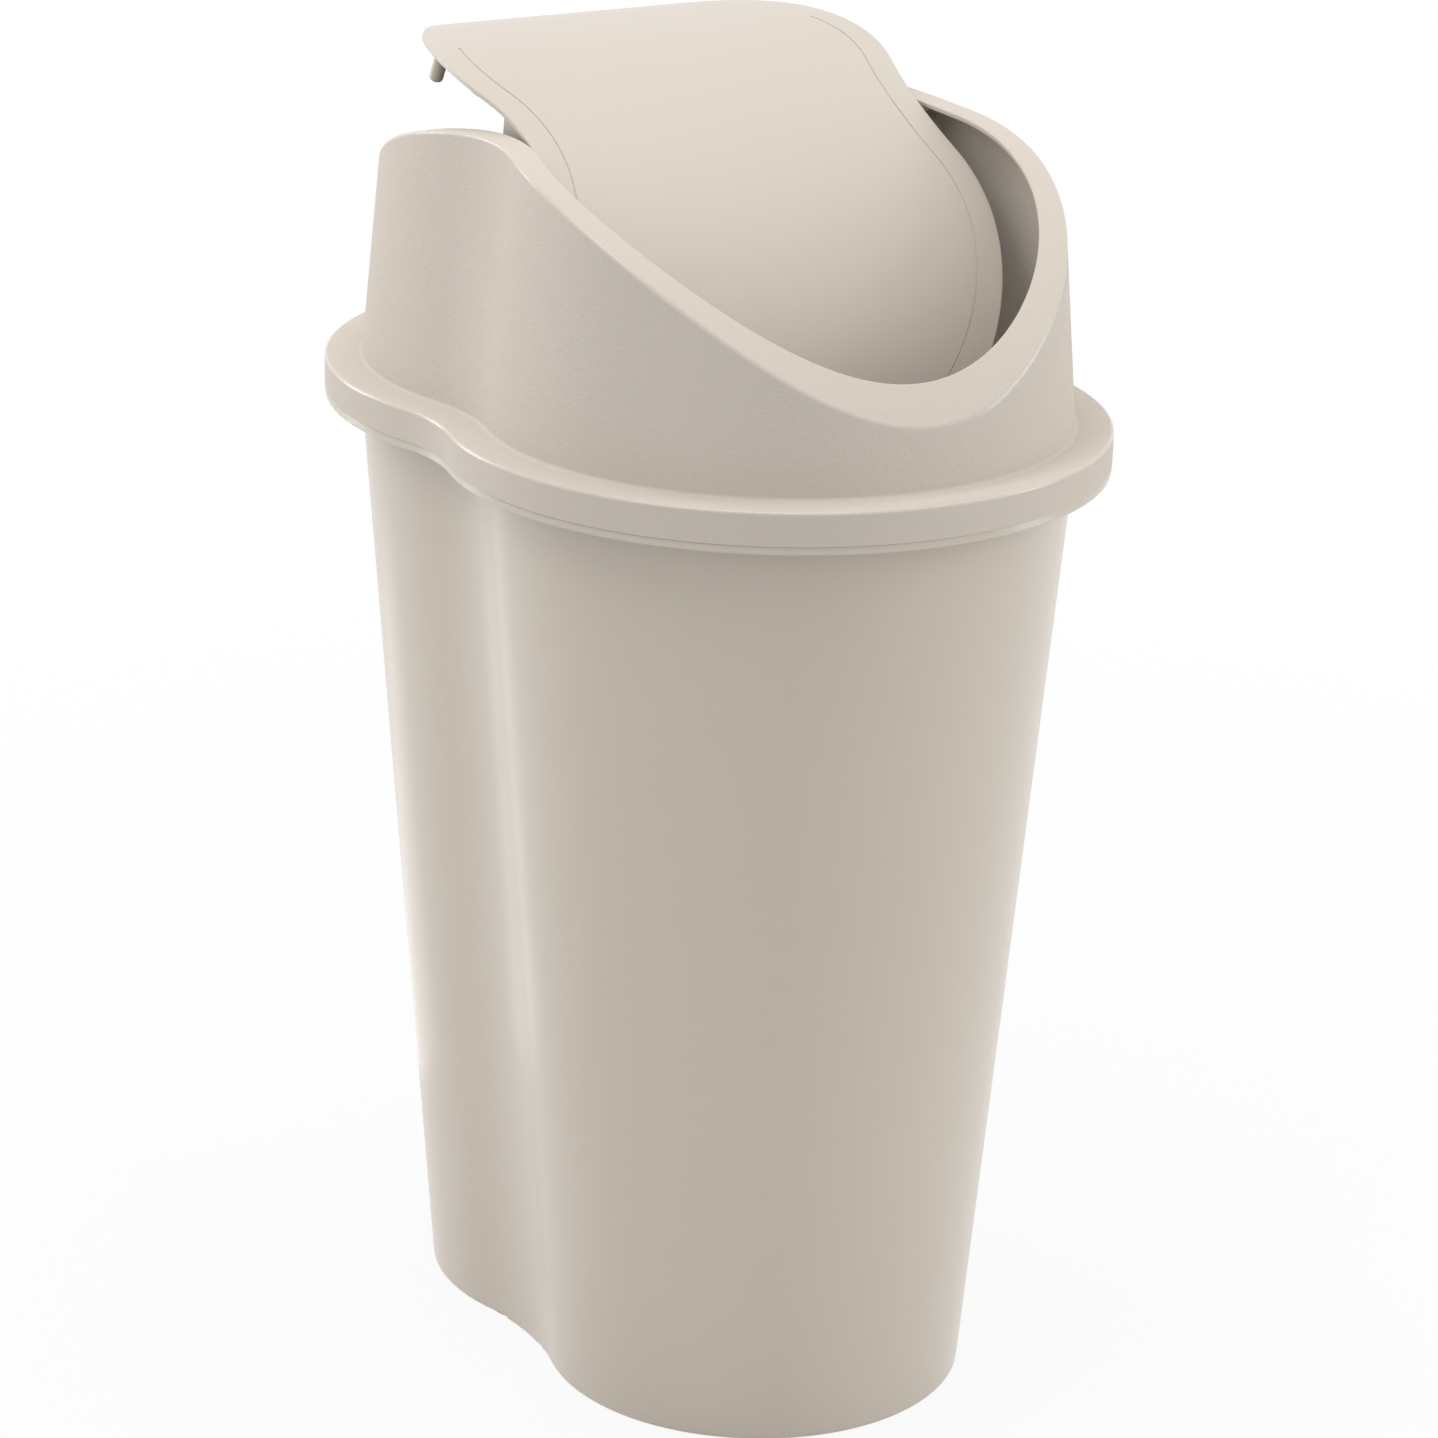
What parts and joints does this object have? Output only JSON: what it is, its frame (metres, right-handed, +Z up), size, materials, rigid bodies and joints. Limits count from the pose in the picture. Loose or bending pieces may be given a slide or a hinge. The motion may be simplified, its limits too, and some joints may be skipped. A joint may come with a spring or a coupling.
{
  "type": "swing-lid waste bin",
  "caption": "Free-standing waste bin, pinched at the waist, with a tapered body, a lift-off hood and an arched flap that swings both ways on side pivots.",
  "frame": {"origin": "on the floor, under the middle of the bin", "axes": "+Z up, +X across the waist along the pivot line, +Y from the front lobe to the back lobe"},
  "size_m": [0.326, 0.4532, 0.6616],
  "materials": {
    "bin_plastic": "smooth satin, moulded",
    "hood_plastic": "fine matt grain, moulded",
    "flap_plastic": "smooth satin, moulded",
    "pin_plastic": "smooth, moulded"
  },
  "bodies": {
    "bin": {"bin_body": "bin_plastic"},
    "lid": {"lid_hood": "hood_plastic"},
    "flap": {"swing_flap": "flap_plastic", "pivot_pin_left": "pin_plastic", "pivot_pin_right": "pin_plastic"}
  },
  "joints": [
    {"name": "lid_lift", "type": "slide", "parent": "bin", "child": "lid", "axis": [0, 0, 1], "range_m": [0, 0.15]},
    {"name": "flap_swing", "type": "hinge", "parent": "lid", "child": "flap", "pos_m": [0, 0, 0.617], "axis": [1, 0, 0], "range_deg": [-97.8, 42.2]}
  ]
}
